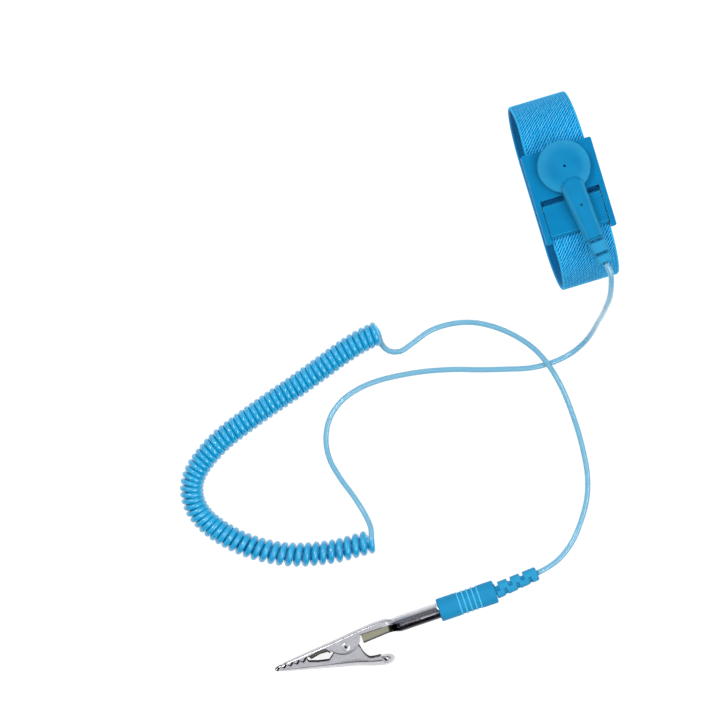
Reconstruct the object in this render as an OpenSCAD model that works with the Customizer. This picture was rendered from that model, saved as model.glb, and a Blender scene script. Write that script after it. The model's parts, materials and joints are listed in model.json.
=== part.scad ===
// Wrist strap that grounds its wearer: an elastic band with a snap buckle, a curly lead and a jaw clip.
// Millimetres, +Z up. The origin is under the middle of the wrist loop, on the surface it stands on.
// The wrist goes through the loop along X, and the lead lies on the same surface.

/* [Wrist loop] */
// Width of the elastic band
band_w = 19; // [16:0.5:19]
// Thickness of the elastic band
band_t = 1.4; // [1.2:0.1:1.4]
// Outside width of the loop, across the wrist
loop_w = 60; // [56:1:66]
// Height of the band's upper face above the table
loop_h = 43.7; // [43:0.1:44.2]

/* [Buckle] */
// Width of the buckle plate, along the wrist
plate_w = 22.4; // [22.4:0.2:24]
// Length of the buckle plate, around the wrist
plate_l = 28.4; // [28:0.2:30]
// Distance of the buckle's middle from the middle of the loop
buckle_y = -1.4; // [-1.6:0.1:0]
// Thickness of the buckle's deck over the band
deck_t = 2; // [1.8:0.1:2.2]
// Width of the lock flap
flap_w = 17.6; // [17:0.1:18.2]
// How far the side rails run on past the flap
rail_end = 1.4; // [1:0.1:2]

/* [Snap] */
// Distance of the stud from the middle of the plate
stud_y = 7.6; // [6.5:0.1:8.5]
// Radius of the stud's head
stud_head_r = 2; // [1.9:0.05:2]
// Radius of the socket's mouth
socket_mouth_r = 2.15; // [2.15:0.05:2.3]

/* [Plug] */
// Radius of the plug's dome
dome_r = 8.25; // [7.8:0.05:8.6]
// Height of the dome over the deck
dome_h = 6.2; // [6:0.1:7]
// Length of the plug's arm, from the stud to the strain relief
arm_l = 24; // [23:0.5:25]
// Length of the plug's strain relief
plug_relief_l = 8; // [7:0.5:9]
// Turn of the arm away from the length of the band
arm_turn = 6.4; // [0:0.2:8]

/* [Lead] */
// Diameter of the lead
cord_d = 1.8; // [1.6:0.1:1.8]
// Outside diameter of the curly part
coil_od = 8; // [7:0.1:8]

/* [Banana end] */
// Length of the grip sleeve
sleeve_l = 19.2; // [18:0.2:20]
// Radius of the grip sleeve
sleeve_r = 3.75; // [3.5:0.05:3.8]
// Length of the strain relief behind the sleeve
clip_relief_l = 14.6; // [12:0.2:15]

/* [Clip] */
// Thickness of the clip's sheet steel
sheet_t = 0.5; // [0.4:0.05:0.5]
// Half the outside width of the upper jaw
upper_half_w = 3.1; // [3:0.05:3.2]
// Radius of the pivot rivet
rivet_r = 1; // [0.8:0.05:1.1]

/* [Hidden] */
$fn = 64;
eps = 0.01;

plastic = [0.05, 0.53, 0.8];
knit = [0.1, 0.58, 0.86];
lead_blue = [0.3, 0.68, 0.88];
steel = [0.74, 0.74, 0.76];
brass = [0.8, 0.66, 0.35];

// Clearance between parts that fit together
fit = 0.05;

// Wrist loop: flat top and bottom, joined by half ellipses; the band's ends meet under the deck
flat_half = 13.5;
end_steps = 24;
band_gap = [buckle_y + 1.5, buckle_y + 3];

// Buckle heights, from the skin side up
deck_z = loop_h + 0.1;
plate_top = deck_z + deck_t;
contact_z = loop_h - band_t - 0.6;
contact_t = 0.5;
contact_inset = 1;
channel_half = band_w / 2 + 0.2;
corner_r = 0.6;
tab = [1, 3, 0.4];
tab_y = 8;

// Lock flap and its hinge
flap_top = plate_top - 0.2;
flap_low_y = -plate_l / 2 + rail_end;
flap_high_y = -2.3;
window_high_y = -0.7;
flap_side_gap = 0.65;
hinge_y = -3.6;
hinge_z = flap_top - 0.85;
barrel_r = 0.85;
hinge_pin_r = 0.5;
hinge_pin_l = plate_w - 0.8;
hinge_bore_r = hinge_pin_r + fit;
flap_t = 1.5;
rib_pitch = 0.8;

// Snap, resistor and plug
stud_at = buckle_y + stud_y;
shank_r = 1.2;
shank_bore_r = shank_r + fit;
eyelet_r = 2.6;
eyelet_t = 0.4;
flange_r = 4.6;
socket_r = 5;
socket_z = plate_top + 0.6;
socket_h = 3.4;
spring_ring_r = 2.55;
spring_wire_r = 0.3;
cord_z = plate_top + 3.5;
dome_z = plate_top + 0.4;
dome_skirt = 1.2;
lug_l = 3;
lug_half_w = 1;
lug_half_t = 0.2;
arm_root_r = 3.6;
arm_end_r = 2.6;
arm_half_h = 2;
pin_hole_r = 0.35;
pin_hole_from = 13;
resistor_from = 11;
resistor_l = 6.3;
resistor_r = 1.2;
wire_r = 0.3;
ferrule_from = 19.5;
ferrule_l = 3;
ferrule_r = 0.8;

// Where the arm's strain relief ends
cord_from = (arm_l + plug_relief_l) * [sin(arm_turn), -cos(arm_turn), 0] + [0, stud_at, cord_z];

// Grip sleeve: its rear end, and the way its axis points
sleeve_at = [-56, -116.4, 3.8];
sleeve_turn = 182;
relief_turn = 6.8;
relief_root_l = 2;
relief_root_r = 2.55;
cord_to = sleeve_at + clip_relief_l * [cos(relief_turn), sin(relief_turn), 0];
recess_r = 2.9;
recess_l = 2.5;
pin_r = 1.4;
pin_shoulder_r = 1.9;
pin_from = 6;
pin_to = 33.5;
cage_from = 20.2;
cage_to = 30.8;
cage_r = 2;
slit_half = 0.25;

// Clip, in its own frame: X from the sleeve to the tips, Y towards the thumb tab
pivot = [51.2, 1.3];
ear_at = [51.1, -2.1];
ear_r = 5.9;
barrel_from = 17.5;
barrel_to = 34;
clip_barrel_r = 2.55;
clip_barrel_bore = 2.1;
slot_turn = 18;
slot_half = 1.25;
rivet_head_t = 0.2;
rivet_bore_r = 0.45;
tooth_count = 5;
tooth_pitch = 2.1;
tooth_depth = 0.7;
tip_x = 74.8;
lower_half_w = upper_half_w - sheet_t - 0.1;

// The lead from the plug to the coil
plug_route = [cord_from, [4, -29.4, 48.4], [3.4, -33.2, 45.5], [2.8, -36.6, 40], [1.8, -39, 33],
    [0.8, -41, 25], [-0.8, -43, 16.5], [-2.6, -45.4, 9], [-5.4, -47.8, 4], [-10, -50, 1.5],
    [-16, -51.2, 1], [-24, -51, 1], [-32, -49.1, 1], [-40, -46.9, 1], [-48, -44.4, 1],
    [-56.5, -42.4, 1], [-65, -41.2, 1], [-73, -40.8, 1], [-80, -41.6, 1], [-86.2, -43.9, 1],
    [-91, -47.9, 1], [-94, -53.5, 1], [-94.9, -60.1, 1], [-93.4, -67.2, 1], [-90.9, -74.2, 1.2],
    [-89.1, -80.6, 2.6], [-88.5, -85.5, 5.4], [-88.9, -89.6, 7]];
// The middle line of the curly part, from its plug end to its clip end
coil_route = [[-89.5, -89.6, 4], [-95, -89.5, 4], [-101, -89.3, 4], [-107, -88.4, 4], [-113, -87, 4],
    [-119, -84.8, 4], [-125, -81.5, 4], [-130.6, -77.3, 4], [-135.2, -72.6, 4], [-138.5, -68, 4],
    [-140.2, -63.8, 4], [-140.5, -59.4, 4], [-139.4, -55.2, 4], [-136.8, -51.6, 4],
    [-132.4, -48.1, 4], [-127, -44.9, 4], [-121, -42.4, 4], [-114, -39.9, 4], [-106.5, -37.4, 4],
    [-98.8, -35, 4], [-90, -32, 4], [-81.2, -28.9, 4], [-74.5, -27, 4], [-68.3, -26, 4]];
// The lead from the coil to the clip; it passes over the first stretch in a low hump
clip_route = [[-68.8, -26, 1], [-68.2, -29.8, 1], [-66.6, -32.6, 1], [-63.2, -33.8, 1], [-58.5, -32.4, 1],
    [-52, -30.2, 1], [-45, -30, 1], [-38, -31.6, 1], [-31.3, -35.3, 1.4], [-25.6, -40.3, 2.2],
    [-21.5, -45.6, 2.9], [-18.9, -51.2, 3.1], [-17.3, -56.8, 2.7], [-16.3, -62.4, 1.8],
    [-15.8, -68.4, 1.1], [-15.6, -75.4, 1], [-15.9, -82.4, 1], [-16.8, -89.4, 1], [-19, -96.2, 1],
    [-22.8, -102.6, 1], [-27.9, -108.7, 1.2], [-33.2, -112.4, 2], [-37.5, -113.9, 3.2], cord_to];

// Unit vector along v
function unit(v) = v / norm(v);

// Direction of a route at its point i
function route_way(route, i) =
    unit(route[min(i + 1, len(route) - 1)] - route[max(i - 1, 0)]);

// One ring of a tube: sides points around the route's point i
function ring(route, i, r, sides) =
    let (way = route_way(route, i), side = unit(cross(way, [0, 0, 1])), up = cross(side, way))
    [for (k = [0 : sides - 1]) let (a = 360 * (k + 0.5) / sides)
        route[i] + r * (cos(a) * side + sin(a) * up)];

// A closed tube along a route, one ring at each of its points
module tube(route, r, sides) {
    rings = len(route);
    points = [for (i = [0 : rings - 1]) each ring(route, i, r, sides)];
    walls = [for (i = [0 : rings - 2], k = [0 : sides - 1]) let (n = (k + 1) % sides)
        each [[i * sides + k, (i + 1) * sides + k, i * sides + n],
            [i * sides + n, (i + 1) * sides + k, (i + 1) * sides + n]]];
    ends = [[for (k = [0 : sides - 1]) k],
        [for (k = [sides - 1 : -1 : 0]) (rings - 1) * sides + k]];
    polyhedron(points, concat(walls, ends));
}

// Loop outline in the Y-Z plane, moved inwards by inset
function loop_outline(inset = 0) =
    let (end_z = loop_h / 2 - inset)
    [for (side = [1, -1], step = [0 : end_steps])
        let (a = 90 - 180 * step / end_steps, flat = flat_half + side * buckle_y,
            end_y = loop_w / 2 - flat - inset)
        [side * (flat + end_y * cos(a)), loop_h / 2 + side * end_z * sin(a)]];

// Extrudes an outline drawn in Y and Z along X, centred
module along_x(width) rotate([90, 0, 90]) linear_extrude(width, center = true) children();

// Box given by its lowest corner and its highest corner
module box(low, high) translate(low) cube(high - low);

// Places what is drawn in the buckle's own frame
module on_buckle() translate([0, buckle_y, 0]) children();

// A cylinder along the plug's arm, from one distance from the stud to another
module on_arm() translate([0, stud_at, cord_z]) rotate([0, 0, arm_turn - 90]) children();
module arm_rod(from, to, r) on_arm() translate([from, 0, 0]) rotate([0, 90, 0])
    cylinder(h = to - from, r = r);

// Places what is drawn in the clip's own frame
module in_clip() translate(sleeve_at) rotate([0, 0, sleeve_turn]) children();
module clip_rod(from, to, r) translate([from, 0, 0]) rotate([0, 90, 0]) cylinder(h = to - from, r = r);

// A tapering strain relief along X, with grooves between its ribs
module ribbed_relief(length, root_r, tip_r, ribs) {
    step = length / (2 * ribs + 1);
    groove = 0.35;
    rotate([0, 90, 0]) rotate_extrude() polygon(concat([[0, 0]],
        [for (i = [0 : 2 * ribs]) let (r = root_r + (tip_r - root_r) * i / (2 * ribs) - (i % 2) * groove)
            each [[r, i * step], [r, (i + 1) * step]]],
        [[0, length]]));
}

module band() color(knit) difference() {
    along_x(band_w) polygon(loop_outline());
    along_x(band_w + 1) polygon(loop_outline(band_t));
    box([-band_w, band_gap[0], loop_h - 3], [band_w, band_gap[1], loop_h + 1]);
    translate([0, stud_at, loop_h - 3]) cylinder(h = 4, r = shank_bore_r);
}

module buckle_plate() color(plastic) on_buckle() difference() {
    translate([0, 0, contact_z]) linear_extrude(plate_top - contact_z) offset(corner_r)
        square([plate_w - 2 * corner_r, plate_l - 2 * corner_r], center = true);
    box([-channel_half, -plate_l, contact_z - 1], [channel_half, plate_l, deck_z]);
    box([-flap_w / 2 - flap_side_gap, -plate_l, contact_z - 1],
        [flap_w / 2 + flap_side_gap, window_high_y, plate_top + 1]);
    translate([0, stud_y, deck_z - 1]) cylinder(h = deck_t + 2, r = shank_bore_r);
    hinge_rod(hinge_pin_l, hinge_pin_r);
    contact_tabs(fit);
}

// The tabs that hold the contact plate in the rails
module contact_tabs(gap) for (side = [-1, 1], y = [-tab_y, tab_y])
    translate([side * channel_half, y, contact_z + contact_t / 2])
        cube([2 * tab[0] + 2 * gap, tab[1] + 2 * gap, tab[2] + 2 * gap], center = true);

module contact_plate() color(steel) on_buckle() difference() {
    union() {
        box([2 * fit - channel_half, contact_inset - plate_l / 2, contact_z],
            [channel_half - 2 * fit, plate_l / 2 - contact_inset, contact_z + contact_t]);
        contact_tabs(0);
    }
    translate([0, stud_y, contact_z - 1]) cylinder(h = 3, r = shank_bore_r);
}

module snap_stud() color(steel) translate([0, stud_at, 0]) rotate_extrude() polygon([
    [0, contact_z - eyelet_t], [shank_r, contact_z - eyelet_t], [shank_r, plate_top],
    [flange_r, plate_top], [flange_r, plate_top + 0.35], [2.3, plate_top + 0.45], [1.6, plate_top + 0.9],
    [1.6, plate_top + 1.5], [stud_head_r, plate_top + 2.1], [stud_head_r - 0.1, plate_top + 2.7],
    [stud_head_r - 0.8, plate_top + 3.1], [0, plate_top + 3.2]]);

module stud_eyelet() color(steel) translate([0, stud_at, contact_z - eyelet_t]) difference() {
    cylinder(h = eyelet_t, r = eyelet_r);
    translate([0, 0, -1]) cylinder(h = 2, r = shank_bore_r);
}

// A rod along X through the flap's hinge line
module hinge_rod(length, r) translate([-length / 2, hinge_y, hinge_z]) rotate([0, 90, 0])
    cylinder(h = length, r = r);

module lock_flap() color(plastic) on_buckle() difference() {
    union() {
        along_x(flap_w) polygon([[flap_low_y, flap_top - flap_t], [flap_low_y, flap_top - 0.7],
            [flap_low_y + 0.8, flap_top], [flap_high_y - 0.5, flap_top],
            [flap_high_y, flap_top - 0.5], [flap_high_y, flap_top - 1.2], [hinge_y, flap_top - 1.2],
            [hinge_y - 1, flap_top - flap_t]]);
        // ribs that bite into the band
        for (i = [0 : 2]) along_x(flap_w - 1)
            translate([hinge_y - 2.5 - i * rib_pitch, flap_top - flap_t])
                polygon([[-0.3, 0.1], [0.3, 0.1], [0, -0.2]]);
        hinge_rod(flap_w, barrel_r);
    }
    hinge_rod(2 * flap_w, hinge_bore_r);
}

module flap_hinge_pin() color(steel) on_buckle() hinge_rod(hinge_pin_l, hinge_pin_r);

module socket_spring() color(brass) translate([0, stud_at, socket_z + socket_h / 2])
    rotate_extrude() translate([spring_ring_r, 0]) circle(spring_wire_r, $fn = 24);

module snap_socket() color(brass) translate([0, stud_at, socket_z]) rotate_extrude() polygon([
    [socket_mouth_r, 0], [socket_r, 0], [socket_r, socket_h], [0, socket_h], [0, socket_h - 0.4],
    [3.6, socket_h - 0.4], [3.6, 0.8], [socket_mouth_r, 0.8]]);

module socket_lug() color(brass) on_arm()
    box([socket_r + eps, -lug_half_w, -lug_half_t], [socket_r + lug_l, lug_half_w, lug_half_t]);

// The solid that the dome and its arm fill
module plug_body() {
    translate([0, stud_at, dome_z]) rotate_extrude() polygon(concat([[0, 0], [dome_r, 0]],
        [for (a = [0 : 7.5 : 90])
            [dome_r * cos(a), dome_skirt + (dome_h - 0.4 - dome_skirt) * sin(a)]]));
    on_arm() hull() {
        translate([6, 0, -arm_half_h - 0.1]) cylinder(h = 2 * arm_half_h + 0.1, r = arm_root_r, $fn = 32);
        translate([arm_l - arm_end_r, 0, -arm_half_h - 0.1])
            cylinder(h = 2 * arm_half_h, r = arm_end_r, $fn = 32);
    }
}

module plug_housing() color(plastic) difference() {
    plug_body();
    translate([0, stud_at, dome_z - 1])
        cylinder(h = socket_z + socket_h - dome_z + 1 + fit, r = socket_r + fit);
    on_arm() box([socket_r - 0.5, -lug_half_w - fit, -lug_half_t - fit],
        [socket_r + lug_l + fit, lug_half_w + fit, lug_half_t + fit]);
    arm_rod(socket_r + lug_l, arm_l, wire_r + fit);
    arm_rod(resistor_from - fit, resistor_from + resistor_l + fit, resistor_r + fit);
    arm_rod(ferrule_from - fit, ferrule_from + ferrule_l + fit, ferrule_r + fit);
    translate([0, stud_at, dome_z + dome_h - 1.4]) cylinder(h = 2, r = pin_hole_r);
    on_arm() translate([pin_hole_from, 0, 1.4]) cylinder(h = 2, r = pin_hole_r);
}

module plug_strain_relief() color(plastic) on_arm() translate([arm_l, 0, 0])
    ribbed_relief(plug_relief_l, relief_root_r, 2.15, 3);

module resistor() color([0.3, 0.6, 0.75]) arm_rod(resistor_from, resistor_from + resistor_l, resistor_r);

module resistor_leads() color(steel) {
    arm_rod(socket_r + lug_l + fit, resistor_from, wire_r);
    arm_rod(resistor_from + resistor_l, ferrule_from, wire_r);
}

module crimp_ferrule() color(brass) arm_rod(ferrule_from, ferrule_from + ferrule_l, ferrule_r);

module cord_plug_end() color(lead_blue) tube(plug_route, cord_d / 2, 8);
module cord_coil() color(lead_blue) tube(coil_route, coil_od / 2, 12);
module cord_clip_end() color(lead_blue) tube(clip_route, cord_d / 2, 8);

module clip_strain_relief() color(plastic) translate(sleeve_at) {
    rotate([0, 0, relief_turn]) ribbed_relief(clip_relief_l, relief_root_r, 2.05, 5);
    rotate([0, 0, relief_turn + 180]) translate([-0.5, 0, 0]) clip_rod(0, relief_root_l, relief_root_r - fit);
}

module banana_sleeve() color(plastic) in_clip() difference() {
    rotate([0, 90, 0]) rotate_extrude() polygon([[0, 0], [sleeve_r - 0.5, 0], [sleeve_r, 0.5],
        [sleeve_r, sleeve_l - 0.5], [sleeve_r - 0.5, sleeve_l], [0, sleeve_l]]);
    clip_rod(-1, relief_root_l, recess_r);
    clip_rod(pin_from - 0.5, sleeve_l, pin_r);
    clip_rod(sleeve_l - recess_l, sleeve_l + 1, recess_r);
}

module banana_pin() color(brass) in_clip() rotate([0, 90, 0]) rotate_extrude() polygon([
    [0, pin_from], [pin_r, pin_from], [pin_r, sleeve_l - recess_l + 0.3],
    [pin_shoulder_r, sleeve_l - recess_l + 0.3], [pin_shoulder_r, cage_from - 0.2],
    [pin_r, cage_from - 0.2], [pin_r, cage_to + 0.2], [pin_shoulder_r, cage_to + 0.2],
    [pin_shoulder_r, pin_to - 1], [pin_shoulder_r - 0.9, pin_to], [0, pin_to]]);

// Lantern spring: a slit tube that bulges in the middle
module banana_spring() color(steel) in_clip() difference() {
    rotate([0, 90, 0]) rotate_extrude() polygon([
        [pin_r + fit, cage_from], [cage_r - 0.2, cage_from], [cage_r, (cage_from + cage_to) / 2],
        [cage_r - 0.2, cage_to], [pin_r + fit, cage_to]]);
    for (a = [0 : 60 : 120]) rotate([a, 0, 0])
        box([cage_from + 1, -cage_r - 1, -slit_half], [cage_to - 1, cage_r + 1, slit_half]);
}

// Extrudes a jaw's side outline across its width
module across(half_w) translate([0, 0, -half_w]) linear_extrude(2 * half_w) children();

// Keeps only what lies inside a jaw's outline seen from above
module seen_from_above(outline) rotate([90, 0, 0]) linear_extrude(60, center = true) polygon(outline);

// Zigzag of the teeth from the tip back to the gap, moved by drop towards the thumb tab
function teeth(drop) = [for (i = [0 : tooth_count - 1]) let (x = tip_x - 0.3 - i * tooth_pitch)
    each [[x, 0.4 + 0.06 * i + drop], [x - tooth_pitch + 0.5, 0.4 + 0.06 * i + tooth_depth + drop]]];

// Side outline of the upper jaw
function upper_outline() = concat(
    [[32.5, -clip_barrel_r], [35.5, -3.5], [42, -3.6], [48, -2.95], [60, -1.75], [tip_x - 0.6, -0.35],
        [tip_x, 0.1]],
    teeth(0),
    [[63, 0.5], [60, -0.1], [57.4, 0], [56.2, 1.6]],
    [for (a = [60 : 15 : 165]) ear_at + ear_r * [cos(a), sin(a)]],
    [[45, 1.6], [36, 1.6], [34, 2.2], [32.5, 1.8]]);

// Half outline of the upper jaw from above, as points along its length
function upper_plan(inset) = let (w = upper_half_w - inset, tip_w = 2 - inset)
    [[30, -clip_barrel_r + inset], [33, -clip_barrel_r + inset], [38, -w], [56, -w], [tip_x + 2, -tip_w],
        [tip_x + 2, tip_w], [56, w], [38, w], [33, clip_barrel_r - inset], [30, clip_barrel_r - inset]];

module clip_upper_jaw() color(steel) in_clip() difference() {
    union() {
        intersection() {
            across(upper_half_w) polygon(upper_outline());
            seen_from_above(upper_plan(0));
        }
        clip_rod(barrel_from, barrel_to, clip_barrel_r);
    }
    intersection() {
        across(upper_half_w) translate([0, sheet_t])
            polygon([[32.5, -clip_barrel_r + 0.1], [35.5, -3.5], [42, -3.6], [48, -2.95], [60, -1.75],
                [tip_x - 2, -0.5], [tip_x - 2, 6], [32.5, 6]]);
        seen_from_above(upper_plan(sheet_t));
    }
    clip_rod(barrel_from - 1, barrel_to + 1, clip_barrel_bore);
    box([35.5, -1, 0.5], [45.6, 3, upper_half_w + 1]);
    rotate([slot_turn, 0, 0]) box([barrel_from + 1.5, -slot_half, 0], [barrel_to + 0.1, slot_half, 4]);
    translate([pivot[0], pivot[1], -6]) cylinder(h = 12, r = rivet_r);
}

// Side outline of the lower jaw, ending in the curled thumb tab
function lower_outline() = concat(
    [[tip_x, 2], [tip_x, 1.3]],
    teeth(0.25),
    [[64, 1.9], [61, 2.9], [57.6, 3.6], [56, 2.4], [54.4, 0.4], [51.2, -1.2], [48.6, -0.6], [46.9, 2.5],
        [46.5, 4.6], [45.3, 6.4], [42.5, 7.2], [39.5, 7.7], [37.6, 8.7], [37.2, 10], [38.3, 11.2],
        [41, 11.3], [44, 10.3], [50, 8.2], [58.3, 6.2], [66, 4.3]]);

module clip_lower_jaw() color(steel) in_clip() difference() {
    intersection() {
        across(upper_half_w) polygon(lower_outline());
        seen_from_above([[36, -3], [43, -3], [46, -lower_half_w], [56, -lower_half_w], [tip_x + 1, -1.95],
            [tip_x + 1, 1.95], [56, lower_half_w], [46, lower_half_w], [43, 3], [36, 3]]);
    }
    // hollow of the channel
    intersection() {
        across(lower_half_w - sheet_t) polygon([[tip_x - 1.5, 0], [tip_x - 1.5, 1.6], [66, 3.8], [58.3, 5.7],
            [50, 7.6], [46, 9], [46, -3], [tip_x - 1.5, -3]]);
        seen_from_above([[45, -2], [56, -2], [tip_x, -1.45], [tip_x, 1.45], [56, 2], [45, 2]]);
    }
    // inside of the thumb tab's curl
    translate([0, 0, -6]) linear_extrude(12) polygon([[46, 7], [42.5, 7.8], [40, 8.3], [38.4, 9], [38, 9.9],
        [38.7, 10.6], [40.9, 10.7], [43.8, 9.7], [46, 9]]);
    translate([pivot[0], pivot[1], -6]) cylinder(h = 12, r = rivet_r + fit);
}

module clip_pivot_rivet() color(steel) in_clip() translate([pivot[0], pivot[1], 0]) difference() {
    union() {
        cylinder(h = 2 * upper_half_w, r = rivet_r, center = true);
        for (side = [-1, 1]) translate([0, 0, side * (upper_half_w + rivet_head_t / 2)])
            cylinder(h = rivet_head_t, r = rivet_r + 0.4, center = true);
    }
    cylinder(h = 3 * upper_half_w, r = rivet_bore_r, center = true);
}

// Torsion spring: turns of wire around the rivet, and a leg along each jaw
module clip_spring() color(steel) in_clip() translate([pivot[0], pivot[1], 0]) {
    turn_r = rivet_r + 0.5;
    turn_pitch = 0.7;
    leg_r = 0.18;
    for (i = [-1 : 1]) translate([0, 0, i * turn_pitch]) rotate_extrude()
        translate([turn_r, 0]) circle(0.25, $fn = 24);
    translate([0, -turn_r, -turn_pitch]) rotate([0, -90, 0]) cylinder(h = 6, r = leg_r);
    translate([0, turn_r, turn_pitch]) rotate([0, 90, 30]) cylinder(h = 3, r = leg_r);
}

band();
buckle_plate();
contact_plate();
snap_stud();
stud_eyelet();
lock_flap();
flap_hinge_pin();
socket_spring();
snap_socket();
socket_lug();
plug_housing();
plug_strain_relief();
resistor();
resistor_leads();
crimp_ferrule();
cord_plug_end();
cord_coil();
cord_clip_end();
clip_strain_relief();
banana_sleeve();
banana_pin();
banana_spring();
clip_upper_jaw();
clip_lower_jaw();
clip_pivot_rivet();
clip_spring();
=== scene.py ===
"""Looks of a grounding wrist strap: knitted band and buckle, snap plug, curly lead and sprung jaw clip.

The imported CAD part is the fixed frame. Lengths here are millimetres, turned into metres when a mesh is made.
"""

import json
import math

import bmesh
import bpy
import numpy as np
from mathutils import Matrix, Vector


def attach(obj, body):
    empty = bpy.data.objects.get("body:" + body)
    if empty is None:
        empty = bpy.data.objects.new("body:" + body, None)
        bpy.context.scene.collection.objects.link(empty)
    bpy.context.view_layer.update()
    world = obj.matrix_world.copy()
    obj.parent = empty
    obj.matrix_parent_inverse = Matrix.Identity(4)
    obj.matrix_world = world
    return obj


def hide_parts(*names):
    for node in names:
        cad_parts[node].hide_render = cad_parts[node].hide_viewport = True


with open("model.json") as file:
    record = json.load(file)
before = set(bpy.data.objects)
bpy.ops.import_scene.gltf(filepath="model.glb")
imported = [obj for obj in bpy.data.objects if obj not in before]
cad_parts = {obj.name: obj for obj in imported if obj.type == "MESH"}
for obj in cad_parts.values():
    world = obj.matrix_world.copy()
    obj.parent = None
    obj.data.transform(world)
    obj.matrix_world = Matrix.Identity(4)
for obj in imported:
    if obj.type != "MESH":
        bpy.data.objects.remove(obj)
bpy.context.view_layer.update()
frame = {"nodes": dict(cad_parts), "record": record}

MM = 0.001
scene = bpy.context.scene


# -------- sizes in millimetres, as in the CAD part

BAND_T = 1.4
LOOP_W = 60.0
LOOP_H = 43.7
FLAT_HALF = 13.5
BUCKLE_Y = -1.4
BAND_ENDS = (BUCKLE_Y + 3.0, BUCKLE_Y + 1.5)  # the band runs the long way round from the first to the second

STUD = (0.0, BUCKLE_Y + 7.6, 49.3)  # on the stud's axis, level with the plug's arm
ARM_TURN = 6.4 - 90.0
ARM_L = 24.0
ARM_UNDER = 47.2
DOME_R = 8.25
DOME_UNDER = 46.2
DOME_TOP = 51.35
RELIEF_L = 8.0

SLEEVE_AT = (-56.0, -116.4, 3.8)
SLEEVE_TURN = 182.0
SLEEVE_L = 19.2
SLEEVE_R = 3.75
CLIP_RELIEF_L = 14.6
CLIP_RELIEF_TURN = 6.8

CORD_D = 1.8
COIL_CORD_D = 2.04
COIL_OUTER_R = 4.0
COIL_R = COIL_OUTER_R - COIL_CORD_D / 2  # middle of the cord to the middle of the coil
COIL_TURNS = 69.5
# pitch of the turns at distances along the coil, from its lower end
COIL_PITCHES = [(0, 2.6), (34, 2.6), (44, 2.3), (53, 1.9), (62, 1.75), (72, 1.77), (82, 1.95), (148, 1.97)]

CORD_TO = (-41.5, -114.67, 3.8)
PLUG_ROUTE = [
    (4.1, -25.7, 49.3), (4.8, -29.4, 48.4), (4.1, -33.2, 45.5), (3, -36.6, 40), (1.7, -39, 33),
    (0.6, -41, 25), (-0.8, -43, 16.5), (-2.6, -45.4, 9), (-5.4, -47.8, 4), (-10, -50, 1.5), (-16, -51.2, 1),
    (-24, -51, 1), (-32, -49.1, 1), (-40, -46.9, 1), (-48, -44.4, 1), (-56.5, -42.4, 1),
    (-65, -41.2, 1), (-73, -40.8, 1), (-80, -41.6, 1), (-86.2, -43.9, 1), (-91, -47.9, 1),
    (-94, -53.5, 1), (-94.9, -60.1, 1), (-93.4, -67.2, 1), (-90.9, -74.2, 1.2), (-89.1, -80.6, 2.6),
    (-88.5, -85.5, 5.4),
]
COIL_ROUTE = [(x, y, COIL_OUTER_R) for x, y in [
    (-89.5, -89.6), (-95, -89.5), (-101, -89.3), (-107, -88.4), (-113, -87), (-119, -84.8), (-125, -81.5),
    (-130.6, -77.3), (-135.2, -72.6), (-138.5, -68), (-140.2, -63.8), (-140.5, -59.4), (-139.4, -55.2),
    (-136.8, -51.6), (-132.4, -48.1), (-127, -44.9), (-121, -42.4), (-114, -39.9), (-106.5, -37.4),
    (-98.8, -35), (-90, -32), (-81.2, -28.9), (-74.5, -27), (-68.3, -26),
]]
CLIP_ROUTE = [
    (-68.2, -29.8, 1), (-66.6, -32.6, 1), (-63.2, -33.8, 1), (-58.5, -32.4, 1), (-52, -30.2, 1),
    (-45, -30, 1), (-38, -31.6, 1), (-31.3, -35.3, 1.4), (-25.6, -40.3, 2.2), (-21.5, -45.6, 2.9),
    (-18.9, -51.2, 3.1), (-17.3, -56.8, 2.7), (-16.3, -62.4, 1.8), (-15.8, -68.4, 1.1),
    (-15.6, -75.4, 1), (-15.9, -82.4, 1), (-16.8, -89.4, 1), (-19, -96.2, 1), (-22.8, -102.6, 1),
    (-27.9, -108.7, 1.2), (-33.2, -112.4, 2), (-37.5, -113.9, 3.2), CORD_TO,
]


# -------- small tools

def rgb(code):
    """The linear colour of a six-digit web colour."""
    parts = [int(code[i:i + 2], 16) / 255 for i in (0, 2, 4)]
    return tuple(c / 12.92 if c <= 0.04045 else ((c + 0.055) / 1.055) ** 2.4 for c in parts)


def smoothstep(low, high, value):
    """0 below low, 1 above high, and a soft step between them."""
    t = np.clip((value - low) / (high - low), 0, 1)
    return t * t * (3 - 2 * t)


def new_piece(name, points, faces, body, slot, replaces):
    """A smooth mesh piece from points in millimetres, riding on a body and standing for CAD nodes."""
    mesh = bpy.data.meshes.new(name)
    mesh.from_pydata([tuple(p) for p in np.asarray(points, float) * MM], [], [tuple(f) for f in faces])
    mesh.validate()
    mesh.shade_smooth()
    piece = bpy.data.objects.new(name, mesh)
    scene.collection.objects.link(piece)
    return dress(piece, body, slot, replaces)


def paint(piece, slot):
    """Gives a piece the material of a slot, and no other."""
    piece.data.materials.clear()
    piece.data.materials.append(materials[slot])


def dress(piece, body, slot, replaces):
    """Paints a piece, attaches it to the body it rides on, and hides the CAD nodes that it stands for."""
    paint(piece, slot)
    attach(piece, body)
    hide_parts(*replaces)
    return piece


def point_attribute(piece, name, values):
    """Writes a number at each point of a piece, for its material to read."""
    piece.data.attributes.new(name, "FLOAT", "POINT")
    piece.data.attributes[name].data.foreach_set("value", np.asarray(values, np.float32))


def apply_modifiers(piece):
    """Replaces a piece's mesh by what its modifiers make of it."""
    bpy.context.view_layer.update()
    shape = piece.evaluated_get(bpy.context.evaluated_depsgraph_get())
    mesh = bpy.data.meshes.new_from_object(shape)
    piece.modifiers.clear()
    piece.data = mesh


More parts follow.
